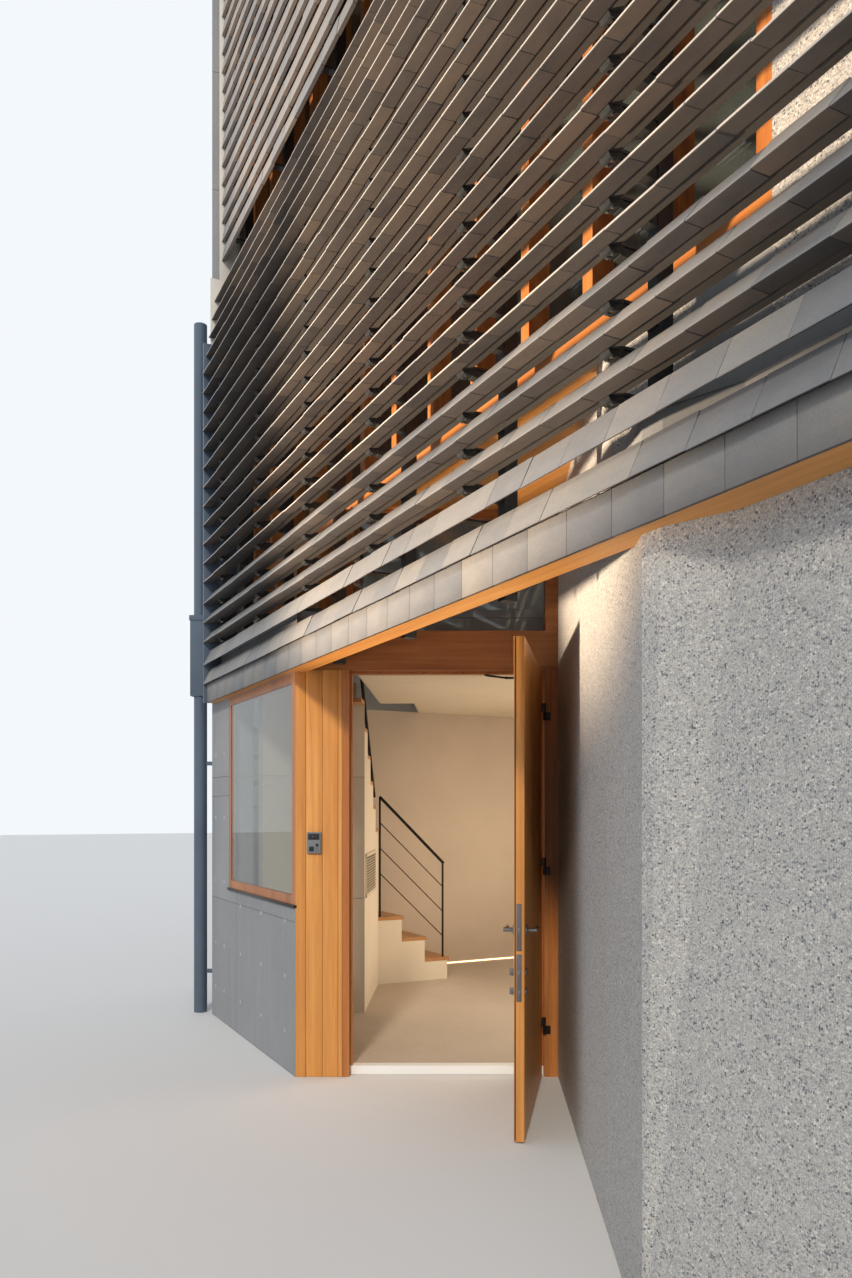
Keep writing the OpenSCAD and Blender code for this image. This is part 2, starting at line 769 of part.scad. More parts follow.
// Side panel under the upper flight
panel_s = newel_s + fit;
panel_end = panel_s + 5 * going;
panel_face = inner_t + flight_w;
module stair_panel() {
    steps = [for (n = [7:11], p = [[n - 7, n], [n - 6, n]])
        [panel_s + p[0] * going, step_z(p[1]) - tread_t]];
    color(plaster) site() in_stair() translate([0, panel_face, 0]) rotate([90, 0, 0])
        linear_extrude(height = panel_t) polygon(concat([[panel_s, floor_z]], steps, [[panel_end, floor_z]]));
}

// Wall that closes the end of the stair, cut off under its last treads
module stair_end_wall() {
    end_x = flight_pt(panel_end + fit, panel_face)[0];
    color(concrete) site() difference() {
        prism([[end_x - end_wall_t, wall_t], [end_x, wall_t], flight_pt(panel_end + fit, panel_face),
               flight_pt(panel_end + fit, panel_face - panel_t - fit),
               chamfer_at_x(panel_face - panel_t - fit, end_x - end_wall_t)], floor_z, ground_wall_h);
        for (n = [11:12]) high_step(n, step_z(n) - tread_t, second_z);
    }
}

module stair_treads() {
    color(timber) site() {
        for (n = [1:3]) low_step(n, step_z(n) - tread_t, step_z(n), nosing);
        for (n = [4:6]) winder(n, step_z(n) - tread_t, step_z(n));
        for (n = [7:13]) high_step(n, step_z(n) - tread_t, step_z(n));
    }
}

// A sloping bar from p to q, given as depth and height in the plane of the rail
module rail_bar(x, p, q, w, h) {
    translate([x - w / 2, 0, 0]) rotate([90, 0, 90]) linear_extrude(height = w)
        polygon([p, q, q + [0, h], p + [0, h]]);
}

module handrail() {
    x = newel[0] - 30;
    foot_y = newel[1] + 3 * going - 30;
    turn_y = newel[1] + 30;
    foot = [foot_y, step_z(1) + rail_h];
    turn = [turn_y, foot[1] + 3 * riser];
    color(steel) site() {
        block(x - 10, x + 10, foot_y - 10, foot_y + 10, step_z(1), foot[1] + 14);
        block(x - 10, x + 10, turn_y - 10, turn_y + 10, step_z(3), turn[1] + 14);
        rail_bar(x, foot + [12, -12], turn, 28, 28);
        for (drop = [220, 440, 660]) rail_bar(x, foot - [0, drop], turn - [0, drop], 10, 12);
    }
}

ground_slab();
left_party_wall();
chamfer_wall();
right_party_wall();
back_wall();
front_wall();
recess_wall();
street_wall();
second_floor_slab();
bay_floor();
window_pier_wall();
upper_street_wall();
third_floor_slab();
roof_slab();
front_window_frame();
front_window_glass();
entry_panel();
intercom();
door_frame();
lintel_beam();
transom_frame();
transom_glass();
door_sill();
door_leaf();
door_hardware();
door_hinges();
sill_band();
second_floor_windows();
second_floor_glass();
third_floor_windows();
third_floor_glass();
back_windows();
back_glass();
fascia();
screen_soffit();
low_louvres();
second_floor_louvres();
third_floor_louvres();
screen_posts();
downpipe();
stair_base();
stair_panel();
stair_end_wall();
stair_treads();
handrail();
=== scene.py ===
"""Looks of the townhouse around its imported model, in millimetres of the plot until site() turns them."""
import bpy
import math
import random
from mathutils import Matrix, Vector


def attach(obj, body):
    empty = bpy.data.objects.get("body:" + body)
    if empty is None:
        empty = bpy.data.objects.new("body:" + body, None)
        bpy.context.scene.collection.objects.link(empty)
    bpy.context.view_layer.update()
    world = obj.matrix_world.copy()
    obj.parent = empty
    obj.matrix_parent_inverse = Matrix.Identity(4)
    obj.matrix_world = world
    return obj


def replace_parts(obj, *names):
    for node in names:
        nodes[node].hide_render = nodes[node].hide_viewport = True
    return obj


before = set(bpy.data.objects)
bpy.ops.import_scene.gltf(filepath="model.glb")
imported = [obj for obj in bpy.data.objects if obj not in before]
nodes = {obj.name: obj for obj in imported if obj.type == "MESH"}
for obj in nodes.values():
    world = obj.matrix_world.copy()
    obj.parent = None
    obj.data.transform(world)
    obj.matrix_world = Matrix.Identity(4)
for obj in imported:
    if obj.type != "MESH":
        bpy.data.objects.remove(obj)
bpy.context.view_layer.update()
random.seed(5)

# Plot and levels, as in the part's source: X runs along the street and Y into the house
HOUSE_W, HOUSE_D, WALL_T = 8190.0, 6370.0, 200.0
CHAMFER_W, CHAMFER_D = 1200.0, 667.0
PORCH_X, PORCH_W = 3130.0, 3090.0
WALL_ANGLE = math.radians(63.15)
FLOOR_Z, GROUND_TOP, SECOND_Z = 50.0, 2500.0, 2750.0
HEAD_Z = 2372.0

# Louvre screen
SCREEN_X0, SCREEN_Z, PITCH, TILE_L = 1310.0, 2360.0, 142.0, 227.5
POST_X0, POST_PITCH, POST_IN, POST_COUNT = 1530.0, 910.0, 160.0, 8
CHANNEL_TOP, LOWER_PLATE_TOP, UPPER_PLATE_TOP = 5060.0, 5560.0, 8740.0

# Entrance, in the slanted wall's own coordinates: along the wall, into the house, up
FRAME_D = 120.0
INTERCOM_X, INTERCOM_Z = 70.0, 1305.0
LEAF_X0, LEAF_X1, LEAF_Y, LEAF_T, LEAF_Z0, LEAF_H = 319.0, 1449.0, 3.0, 50.0, 10.0, 2357.0
LEAF_TOP = LEAF_Z0 + LEAF_H
LEVER_Z, DEADBOLT_ZS, LOCK_ZS, LOCK_H = 990.0, (790.0, 700.0), (663.0, 899.0), 220.0
HINGE_ZS, HINGE_H = (300.0, 1228.5, 2127.0), 50.0
PIN_X, PIN_Y = 1451.5, -12.0
DOOR_OPEN = math.radians(79)

# Stair: S runs along the chamfered wall to the street, B into the house
RISER, GOING = (SECOND_Z - FLOOR_Z) / 14, 225.0
NEWEL_X, NEWEL_Y = 920.0, 1510.7
RAIL_H, RAIL_DROPS = 840.0, (220.0, 440.0, 660.0)
PIPE_S, PIPE_B = -76.0, -111.0

# Finish of the meshes
SMOOTH_ANGLE, BEVEL_ANGLE = math.radians(35), 0.6

IDENTITY = Matrix.Identity(4)
DOOR_WALL = Matrix.Translation((PORCH_X, 0, 0)) @ Matrix.Rotation(WALL_ANGLE, 4, "Z")
ON_LEAF = (DOOR_WALL @ Matrix.Translation((PIN_X, PIN_Y, 0)) @ Matrix.Rotation(DOOR_OPEN, 4, "Z")
           @ Matrix.Translation((-PIN_X, -PIN_Y, 0)))
IN_STAIR = (Matrix.Translation((CHAMFER_W, 0, 0))
            @ Matrix.Rotation(-math.atan2(CHAMFER_D, CHAMFER_W), 4, "Z"))


def site(p):
    """Turns a point of the plot in millimetres into the frame's metres."""
    return Vector(((p[0] - HOUSE_W / 2) / 1000, (p[1] - HOUSE_D / 2) / 1000, p[2] / 1000))


def flight_pt(s, b):
    p = IN_STAIR @ Vector((s, b, 0))
    return (p.x, p.y)


def step_z(n):
    return FLOOR_Z + RISER * n


def skin(n):
    """Faces of a solid between two outlines of n points each."""
    return ([tuple(range(n - 1, -1, -1)), tuple(range(n, 2 * n))]
            + [(i, (i + 1) % n, n + (i + 1) % n, n + i) for i in range(n)])


class Build:
    """Gathers solids in plot millimetres, then makes one object of them. Each solid has a random tint."""

    def __init__(self, place=IDENTITY):
        self.verts, self.faces, self.tints, self.place = [], [], [], place

    def add(self, verts, faces, tint=None):
        tint = random.random() if tint is None else tint
        n = len(self.verts)
        self.verts += [self.place @ Vector(v) for v in verts]
        self.faces += [[n + i for i in f] for f in faces]
        self.tints += [tint] * len(faces)

    def box(self, x0, x1, y0, y1, z0, z1, tint=None):
        self.add([(x, y, z) for z in (z0, z1) for y in (y0, y1) for x in (x0, x1)],
                 [(0, 2, 3, 1), (4, 5, 7, 6), (0, 1, 5, 4), (2, 6, 7, 3), (0, 4, 6, 2), (1, 3, 7, 5)], tint)

    def prism(self, points, z0, z1):
        """Extrudes a plan outline given either way round."""
        area = sum(a[0] * b[1] - b[0] * a[1] for a, b in zip(points, points[1:] + points[:1]))
        if area < 0:
            points = points[::-1]
        self.add([(x, y, z) for z in (z0, z1) for x, y in points], skin(len(points)))

    def along_x(self, section, x0, x1):
        """Extrudes a section given as (y, z), counter-clockwise seen from +X."""
        self.add([(x, y, z) for x in (x0, x1) for y, z in section], skin(len(section)))

    def rod(self, p, q, r, sides=16, r2=None):
        """A round bar from p to q, with radius r2 at q where that is given."""
        p, q = Vector(p), Vector(q)
        turn = (q - p).to_track_quat("Z", "Y").to_matrix()
        angles = [2 * math.pi * i / sides for i in range(sides)]
        ends = ((p, r), (q, r if r2 is None else r2))
        self.add([end + turn @ Vector((radius * math.cos(a), radius * math.sin(a), 0))
                  for end, radius in ends for a in angles], skin(sides))

    def make(self, name, look, body="house", bevel=0.0, segments=2, slot=None):
        mesh = bpy.data.meshes.new(name)
        mesh.from_pydata([site(v) for v in self.verts], [], self.faces)
        tint = mesh.attributes.new("tint", "FLOAT", "FACE")
        tint.data.foreach_set("value", self.tints)
        obj = bpy.data.objects.new(name, mesh)
        bpy.context.collection.objects.link(obj)
        mesh.materials.append(LOOKS[look])
        if bevel:
            mod = obj.modifiers.new("bevel", "BEVEL")
            mod.width, mod.segments = bevel / 1000, segments
            mod.limit_method, mod.angle_limit = "ANGLE", BEVEL_ANGLE
        for poly in mesh.polygons:
            poly.use_smooth = True
        mod = obj.modifiers.new("edges", "EDGE_SPLIT")
        mod.split_angle = SMOOTH_ANGLE
        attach(obj, body)
        return obj


class Nodes:
    """A material with short calls for its shader nodes."""

    def __init__(self, name):
        self.mat = bpy.data.materials.new(name)
        self.mat.use_nodes = True
        self.tree = self.mat.node_tree
        self.shader = self.tree.nodes["Principled BSDF"]

    def node(self, kind, values=None, **inputs):
        """Adds a node. An input is named with _ for each space, or i and its number where names repeat."""
        node = self.tree.nodes.new("ShaderNode" + kind)
        for key, value in (values or {}).items():
            setattr(node, key, value)
        for key, value in inputs.items():
            numbered = key[0] == "i" and key[1:].isdigit()
            self.put(node.inputs[int(key[1:]) if numbered else key.replace("_", " ")], value)
        return node

    def put(self, socket, value):
        if isinstance(value, bpy.types.NodeSocket):
            self.tree.links.new(value, socket)
        else:
            socket.default_value = value

    def paint(self, socket, colour):
        self.put(socket, colour if isinstance(colour, bpy.types.NodeSocket) else (*colour, 1))

    def coords(self, scale=(1, 1, 1), turn=0.0):
        co = self.node("TexCoord").outputs["Object"]
        if turn:
            co = self.node("Mapping", Vector=co, Rotation=(0, 0, turn)).outputs[0]
        return self.node("Mapping", Vector=co, Scale=scale).outputs[0]

    def noise(self, co, scale, detail=4.0, rough=0.55, distortion=0.0):
        return self.node("TexNoise", Vector=co, Scale=scale, Detail=detail, Roughness=rough,
                         Distortion=distortion).outputs["Fac"]

    def cells(self, co, scale):
        return self.node("TexVoronoi", Vector=co, Scale=scale).outputs

    def tint(self):
        return self.node("Attribute", {"attribute_name": "tint"}).outputs["Fac"]

    def ramp(self, fac, stops):
        ramp = self.node("ValToRGB", Fac=fac)
        while len(ramp.color_ramp.elements) < len(stops):
            ramp.color_ramp.elements.new(0.5)
        for element, (pos, colour) in zip(ramp.color_ramp.elements, stops):
            element.position, element.color = pos, (*colour, 1)
        return ramp.outputs["Color"]

    def span(self, fac, low, high, a=0.0, b=1.0):
        """Maps fac from a..b to low..high, and holds it there."""
        return self.node("MapRange", Value=fac, From_Min=a, From_Max=b, To_Min=low, To_Max=high).outputs[0]

    def math(self, kind, a, b=0.0):
        return self.node("Math", {"operation": kind}, i0=a, i1=b).outputs[0]

    def mix(self, fac, a, b, kind="MIX"):
        node = self.node("Mix", {"data_type": "RGBA", "blend_type": kind})
        self.put(node.inputs["Factor"], fac)
        self.paint(node.inputs[6], a)
        self.paint(node.inputs[7], b)
        return node.outputs[2]

    def finish(self, colour, rough, bumps=(), **values):
        """Sets the shader. Each bump is (height, strength, distance in metres)."""
        self.paint(self.shader.inputs["Base Color"], colour)
        self.put(self.shader.inputs["Roughness"], rough)
        normal = None
        for height, strength, distance in bumps:
            bump = self.node("Bump", Height=height, Strength=strength, Distance=distance)
            if normal:
                self.put(bump.inputs["Normal"], normal)
            normal = bump.outputs[0]
        if normal:
            self.put(self.shader.inputs["Normal"], normal)
        for key, value in values.items():
            self.shader.inputs[key.replace("_", " ")].default_value = value
        return self.mat


def shade(colour, factor):
    return tuple(c * factor for c in colour)


def concrete(name, dark, light, warm=(0.5, 0.47, 0.42), panels=True):
    """Fair-faced concrete, with the joints of its form panels where it was cast upright."""
    n = Nodes(name)
    co = n.coords()
    clouds = n.noise(co, 1.3, 6.0, 0.65)
    fine = n.noise(co, 38.0, 6.0, 0.65)
    pores = n.cells(co, 55.0)["Distance"]
    streak = n.noise(n.coords((6, 6, 0.5)), 2.2, 4.0)
    colour = n.mix(n.span(clouds, 0, 0.55, 0.3, 0.7), dark, light)
    colour = n.mix(n.span(streak, 0, 0.16, 0.45, 0.75), colour, warm)
    colour = n.mix(n.span(fine, 0, 0.25, 0.35, 0.8), colour, shade(dark, 0.75))
    colour = n.mix(n.span(pores, 0.5, 0.0, 0.03, 0.10), colour, shade(dark, 0.55))
    bumps = [(clouds, 0.12, 0.004), (fine, 0.25, 0.0012)]
    if panels:
        place = n.node("SeparateXYZ", Vector=co)
        along = n.math("ADD", place.outputs[0], place.outputs[1])
        flat = n.node("CombineXYZ", X=along, Y=place.outputs[2]).outputs[0]
        forms = n.node("TexBrick", {"offset": 0.0}, Vector=flat, Scale=1.0, Brick_Width=1.8, Row_Height=0.9,
                       Color1=(1, 1, 1, 1), Color2=(0.86, 0.87, 0.88, 1), Mortar=(0.55, 0.55, 0.55, 1),
                       Mortar_Size=0.003, Mortar_Smooth=0.3)
        colour = n.mix(1.0, colour, forms.outputs["Color"], "MULTIPLY")
        bumps.append((n.span(forms.outputs["Fac"], 1, 0), 0.6, 0.003))
    return n.finish(colour, n.span(fine, 0.62, 0.82), bumps, Specular_IOR_Level=0.35)


def aggregate(name):
    """Concrete with its stones laid bare: large ones in a cement full of grit."""
    n = Nodes(name)
    co = n.coords()
    big = n.cells(co, 140.0)
    small = n.cells(co, 340.0)
    patch = n.noise(co, 1.1, 5.0, 0.6)
    stones = [(0.0, (0.05, 0.055, 0.065)), (0.16, (0.12, 0.135, 0.16)), (0.3, (0.27, 0.27, 0.27)),
              (0.5, (0.38, 0.36, 0.33)), (0.72, (0.48, 0.46, 0.42)), (0.9, (0.62, 0.60, 0.56))]
    tone = n.node("SeparateColor", Color=big["Color"]).outputs[0]
    grit = n.ramp(n.node("SeparateColor", Color=small["Color"]).outputs[1], stones)
    stone = n.ramp(tone, stones)
    edge = n.span(big["Distance"], 1.0, 0.0, 0.43, 0.62)
    cement = n.mix(n.span(patch, 0, 1, 0.35, 0.65), (0.38, 0.38, 0.375), (0.48, 0.47, 0.45))
    colour = n.mix(0.5, cement, grit)
    worn = n.span(n.noise(co, 40.0, 3.0), 0.15, 0.9, 0.4, 0.55)
    colour = n.mix(n.math("MULTIPLY", edge, worn), colour, stone)
    return n.finish(colour, n.span(tone, 0.55, 0.8),
                    [(edge, 0.45, 0.0014), (n.noise(co, 300.0, 4.0), 0.3, 0.0008)], Specular_IOR_Level=0.4)


def wood(name, dark, mid, light, grain=(1, 1, 0.035), turn=0.0):
    """Boards with grain along the axis whose grain scale is small. The tint varies from board to board."""
    n = Nodes(name)
    tint = n.tint()
    shift = n.node("CombineXYZ", X=n.math("MULTIPLY", tint, 7.0), Y=n.math("MULTIPLY", tint, 3.0))
    co = n.node("VectorMath", {"operation": "ADD"}, i0=n.coords(grain, turn), i1=shift.outputs[0]).outputs[0]
    streak = n.noise(co, 38.0, 3.0, 0.55, 0.4)
    line = n.noise(co, 150.0, 2.0, 0.6)
    fibre = n.noise(co, 520.0, 3.0, 0.7)
    cloud = n.noise(co, 6.0, 3.0, 0.5)
    colour = n.ramp(n.math("ADD", n.math("MULTIPLY", streak, 0.55), n.math("MULTIPLY", cloud, 0.45)),
                    [(0.30, dark), (0.50, mid), (0.70, light)])
    colour = n.mix(n.span(line, 0.0, 0.28, 0.52, 0.70), colour, dark)
    colour = n.mix(n.span(fibre, 0.0, 0.15, 0.45, 0.75), colour, dark)
    colour = n.mix(n.span(tint, 0.0, 0.28), colour, shade(mid, 0.72))
    return n.finish(colour, n.span(fibre, 0.34, 0.52), [(line, 0.10, 0.0006), (fibre, 0.2, 0.0003)],
                    Specular_IOR_Level=0.45)


def tile(name, low, mid, high):
    """Ceramic with painted light: faces turned up to the street and sky take pale lit colours, faces turned
    down take a dark painted shade.
    """
    n = Nodes(name)
    co = n.coords()
    tint = n.tint()
    up = n.node("SeparateXYZ", Vector=n.node("NewGeometry").outputs["Normal"]).outputs[2]
    cloud = n.noise(n.coords((1, 2, 2)), 9.0, 4.0, 0.6)
    fine = n.noise(co, 160.0, 5.0, 0.65)
    specks = n.cells(co, 520.0)["Distance"]
    tone = n.math("ADD", n.math("MULTIPLY", tint, 0.5), n.math("MULTIPLY", cloud, 0.6))
    # Dark colours of painted shade for the faces that turn down
    shaded = ((0.042, 0.041, 0.044), (0.074, 0.066, 0.062), (0.112, 0.090, 0.074))
    painted_shade_below, face = (n.ramp(tone, list(zip((0.15, 0.55, 0.95), colours)))
                   for colours in (shaded, (low, mid, high)))
    # Painted shade and light: the normal's height picks the dark shaded colours below and the pale lit ones
    # above
    colour = n.mix(n.span(up, 0, 1, -0.45, 0.1), painted_shade_below, face)
    colour = n.mix(n.span(specks, 0.4, 0.0, 0.02, 0.2), colour, (0.22, 0.205, 0.19))
    colour = n.mix(n.span(fine, 0.0, 0.3, 0.45, 0.8), colour, (0.05, 0.05, 0.055))
    rough = n.math("ADD", n.span(fine, 0.34, 0.52), n.math("MULTIPLY", tint, 0.08))
    return n.finish(colour, rough, [(cloud, 0.1, 0.002), (fine, 0.22, 0.0004)], Specular_IOR_Level=0.5)


def metal(name, colour, rough, metallic=1.0, brushed=False):
    n = Nodes(name)
    fine = n.noise(n.coords((1, 1, 0.1) if brushed else (1, 1, 1)), 240.0 if brushed else 90.0, 4.0)
    tone = n.mix(n.span(fine, 0.0, 0.5, 0.3, 0.8), colour, shade(colour, 0.7))
    return n.finish(tone, n.span(fine, rough - 0.06, rough + 0.1), [(fine, 0.12, 0.0003)], Metallic=metallic)


def plain(name, colour, rough, scale=60.0, bump=0.0006, vary=0.12, **values):
    """One colour with a fine grain of the given scale and bump, which clouds darken by vary."""
    n = Nodes(name)
    co = n.coords()
    fine = n.noise(co, scale, 5.0, 0.6)
    cloud = n.noise(co, 2.0, 4.0, 0.55)
    tone = n.mix(n.span(cloud, 0.0, 1.0, 0.35, 0.7), colour, shade(colour, 1 - vary))
    return n.finish(tone, n.span(fine, rough - 0.05, rough + 0.08), [(fine, 0.25, bump)], **values)


def glass(name, colour=(0.93, 0.96, 0.96)):
    """Slightly rippled glass that lets lamps shine through."""
    n = Nodes(name)
    ripple = n.noise(n.coords(), 1.3, 2.0)
    n.finish(colour, 0.0, [(ripple, 0.03, 0.002)], Transmission_Weight=1.0, IOR=1.45)
    clear = n.node("BsdfTransparent", Color=(0.86, 0.9, 0.9, 1))
    shadow = n.node("LightPath").outputs["Is Shadow Ray"]
    both = n.node("MixShader", i0=shadow, i1=n.shader.outputs[0], i2=clear.outputs[0])
    n.put(n.tree.nodes["Material Output"].inputs["Surface"], both.outputs[0])
    return n.mat


def glow(name, colour, strength):
    n = Nodes(name)
    ends = n.noise(n.coords(), 3.0, 1.0)
    return n.finish(n.mix(n.span(ends, 0, 0.2), colour, (1, 0.9, 0.75)), 0.6, Emission_Color=(*colour, 1),
                    Emission_Strength=strength)


ALONG = (0.035, 1, 1)
CEDAR = ((0.24, 0.075, 0.018), (0.39, 0.140, 0.036), (0.50, 0.205, 0.060))
HONEY = ((0.46, 0.180, 0.038), (0.62, 0.275, 0.070), (0.72, 0.360, 0.110))
LINTEL = ((0.20, 0.070, 0.018), (0.34, 0.125, 0.034), (0.44, 0.180, 0.055))
OAK = ((0.30, 0.14, 0.055), (0.44, 0.22, 0.09), (0.55, 0.30, 0.14))
LOOKS = {
    "concrete": concrete("smooth_concrete", (0.27, 0.28, 0.29), (0.37, 0.375, 0.38)),
    "ceiling": concrete("ceiling_concrete", (0.66, 0.58, 0.46), (0.76, 0.68, 0.55), (0.58, 0.49, 0.37),
                        False),
    "inner_wall": concrete("inner_concrete", (0.52, 0.46, 0.38), (0.62, 0.55, 0.46), (0.50, 0.44, 0.35)),
    "aggregate": aggregate("exposed_aggregate"),
    "cedar_z": wood("cedar_upright", *CEDAR),
    "cedar_x": wood("cedar_along_street", *CEDAR, grain=ALONG),
    "cedar_door": wood("cedar_along_recess", *LINTEL, grain=ALONG, turn=-WALL_ANGLE),
    "honey_z": wood("larch_upright", *HONEY),
    "honey_x": wood("larch_along_street", *HONEY, grain=ALONG),
    "tread": wood("tread_oak", *OAK, grain=ALONG),
    "tile": tile("louvre_tile", (0.30, 0.295, 0.29), (0.40, 0.385, 0.36), (0.50, 0.47, 0.43)),
    "plate_tile": tile("plate_tile", (0.135, 0.14, 0.15), (0.185, 0.183, 0.182), (0.25, 0.235, 0.215)),
    "carrier": plain("carrier_rail", (0.085, 0.078, 0.072), 0.62, 90.0, 0.0008, 0.3),
    "steel": metal("screen_steel", (0.055, 0.06, 0.066), 0.45, 0.75),
    "bracket": metal("cast_bracket", (0.045, 0.047, 0.047), 0.62, 0.3),
    "bolt": metal("galvanised_bolt", (0.5, 0.5, 0.48), 0.35),
    "rail": metal("rail_steel", (0.03, 0.03, 0.032), 0.4, 0.7),
    "brushed": metal("brushed_steel", (0.26, 0.25, 0.245), 0.32, 1.0, True),
    "lock_plate": metal("lock_plate", (0.20, 0.19, 0.195), 0.4, 0.85, True),
    "bronze": metal("dark_bronze", (0.06, 0.05, 0.045), 0.38, 0.9),
    "pipe": plain("painted_pipe", (0.075, 0.105, 0.15), 0.38, 30.0, 0.0002, 0.2, Coat_Weight=0.2),
    "white": plain("white_stone", (0.80, 0.80, 0.78), 0.4, 80.0, 0.0002, 0.05),
    "plaster": plain("taupe_plaster", (0.60, 0.50, 0.40), 0.85, 140.0, 0.0005, 0.08),
    "flank": plain("pale_plaster", (0.72, 0.64, 0.52), 0.85, 140.0, 0.0005, 0.06),
    "grille": plain("grille_cream", (0.62, 0.54, 0.42), 0.6, 140.0, 0.0003, 0.06),
    "hall_floor": concrete("hall_floor", (0.44, 0.37, 0.30), (0.55, 0.47, 0.38), (0.58, 0.50, 0.40), False),
    "intercom": plain("intercom_grey", (0.16, 0.18, 0.20), 0.42, 200.0, 0.0001, 0.1),
    "black": plain("black_plastic", (0.012, 0.012, 0.014), 0.3, 200.0, 0.0001, 0.1),
    "lens": plain("lens_black", (0.004, 0.004, 0.006), 0.06, 50.0, 0.00001, 0.1, Coat_Weight=1.0),
    "end_plate": plain("pale_end_plate", (0.66, 0.63, 0.58), 0.5, 60.0, 0.0003, 0.1),
    "tie": plain("tie_plug", (0.44, 0.46, 0.48), 0.8, 120.0, 0.0004, 0.2),
    "gap": plain("form_joint", (0.12, 0.125, 0.13), 0.9, 120.0, 0.0004, 0.2),
    "gasket": plain("gasket_rubber", (0.02, 0.018, 0.016), 0.6, 200.0, 0.0002, 0.1),
    "glass": glass("window_glass"),
    "street_glass": glass("tinted_glass", (0.56, 0.60, 0.57)),
    "cove": glow("cove_light", (1.0, 0.70, 0.42), 2.5),
}

# Looks of the CAD nodes that stay
CAD_LOOKS = {
    "concrete": ["left_party_wall", "chamfer_wall", "right_party_wall", "back_wall", "front_wall",
                 "window_pier_wall", "roof_slab", "third_floor_slab", "second_floor_slab"],
    "inner_wall": ["stair_end_wall"],
    "hall_floor": ["ground_slab"],
    "aggregate": ["recess_wall", "street_wall", "upper_street_wall"],
    "cedar_z": ["front_window_frame", "second_floor_windows", "third_floor_windows", "back_windows",
                "door_frame"],
    "cedar_x": ["sill_band"],
    "cedar_door": ["transom_frame", "lintel_beam"],
    "honey_x": ["screen_soffit", "bay_floor"],
    "tread": ["stair_treads"],
    "street_glass": ["front_window_glass", "second_floor_glass", "third_floor_glass"],
    "glass": ["transom_glass", "back_glass"],
    "steel": ["screen_posts"],
    "bronze": ["door_hinges"],
    "white": ["door_sill"],
    "flank": ["stair_base", "stair_panel"],
    "pipe": ["downpipe"],
}
for look, names in CAD_LOOKS.items():
    for name in names:
        for slot in nodes[name].material_slots:
            slot.material = LOOKS[look]

# Sections of the louvres, as (depth, height) from the nose of the row
PLATE = [(0, 0), (0, -4), (32.5, -22), (130, -22), (130, 0)]
WEDGE = [(0, 0), (0, -4), (64, -4), (64, 22), (86, 40), (80.2, 85.5), (69.2, 85.5)]
LEVEL = [(0, 5), (0, -2), (64, -2), (64, 16), (7, 11)]
UPRIGHT = [(0, 0), (0, -22), (110, -22), (110, 0)]
WEDGE_RAIL = [(65, 2), (110, 2), (110, 22), (65, 22)]
LEVEL_RAIL = [(65, 4), (110, 4), (110, 22), (65, 16)]
UNDER_RAIL = [(66, 3.5), (76, -14), (112, -17), (126, -8), (126, 22), (110.5, 22), (110.5, 3.5)]

# Rows as (nose y, nose z, tilt). The upper level rows step back.
NOSE_Y, TOP_NOSE_Y, ROW_SETBACK, FIRST_SET_BACK = -100.0, 45.0, 22.0, 12
LOW_ROWS = [(NOSE_Y, SCREEN_Z + 134 + i * PITCH, 65.0) for i in range(2)]
WEDGE_ROWS = [(NOSE_Y, SCREEN_Z + 452 + i * PITCH, 0.0) for i in range(3)]
LEVEL_ROWS = [(NOSE_Y + ROW_SETBACK * max(0, i - FIRST_SET_BACK + 1), SCREEN_Z + 897 + i * PITCH, 6.0)
              for i in range(16)]
TOP_ROWS = [(TOP_NOSE_Y, SCREEN_Z + 3348 + i * PITCH, 81.0) for i in range(21)]

# The tiles' joints: the first one from the recess's corner and half their width, then how far tiles stray
FIRST_JOINT, HALF_JOINT, SHORTEST_TILE = 80.0, 0.9, 30.0
OUT_SHIFT, UP_SHIFT, TILT_SHIFT = (-1, 3), (-1.2, 1.2), (-0.7, 0.7)


def place_section(section, nose_y, nose_z, tilt):
    c, s = math.cos(math.radians(tilt)), math.sin(math.radians(tilt))
    return [(nose_y + t * c - n * s, nose_z + t * s + n * c) for t, n in section]


def joints(stagger):
    """Places of the joints along a row. Every other row is shifted by half a tile."""
    first = PORCH_X + FIRST_JOINT + (0 if stagger else TILE_L / 2)
    while first - TILE_L > SCREEN_X0:
        first -= TILE_L
    edges = [SCREEN_X0]
    while first < HOUSE_W - 1:
        if first - edges[-1] > SHORTEST_TILE:
            edges.append(first)
        first += TILE_L
    return edges + [HOUSE_W]


def tile_rows(tiles, rows, section, offset):
    for i, (y, z, tilt) in enumerate(rows):
        edges = joints((i + offset) % 2)
        for x0, x1 in zip(edges, edges[1:]):
            dy, dz, turn = (random.uniform(*shift) for shift in (OUT_SHIFT, UP_SHIFT, TILT_SHIFT))
            placed = place_section(section, y + dy, z + dz, tilt + turn)
            tiles.along_x(placed, x0 + HALF_JOINT, x1 - HALF_JOINT)


def carriers(rails, rows, section):
    for row in rows:
        rails.along_x(place_section(section, *row), SCREEN_X0 + 1, HOUSE_W - 1)


def finish_tiles(tiles, name, look, node):
    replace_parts(tiles.make(name, look, bevel=1.2, segments=1, slot="louvre_tile"), node)


# Rows of tiles and the rails that carry the wedges and level rows
low, level, top, rails = Build(), Build(), Build(), Build()
tile_rows(low, LOW_ROWS, PLATE, 0)
tile_rows(low, WEDGE_ROWS, WEDGE, 0)
tile_rows(level, LEVEL_ROWS, LEVEL, 1)
tile_rows(top, TOP_ROWS, UPRIGHT, 1)
finish_tiles(low, "low_tiles", "plate_tile", "low_louvres")
finish_tiles(level, "second_floor_tiles", "tile", "second_floor_louvres")
finish_tiles(top, "third_floor_tiles", "plate_tile", "third_floor_louvres")
carriers(rails, WEDGE_ROWS, WEDGE_RAIL)
carriers(rails, LEVEL_ROWS, LEVEL_RAIL)
rails.make("carrier_rails", "carrier", bevel=1.0, segments=1, slot="louvre_tile")

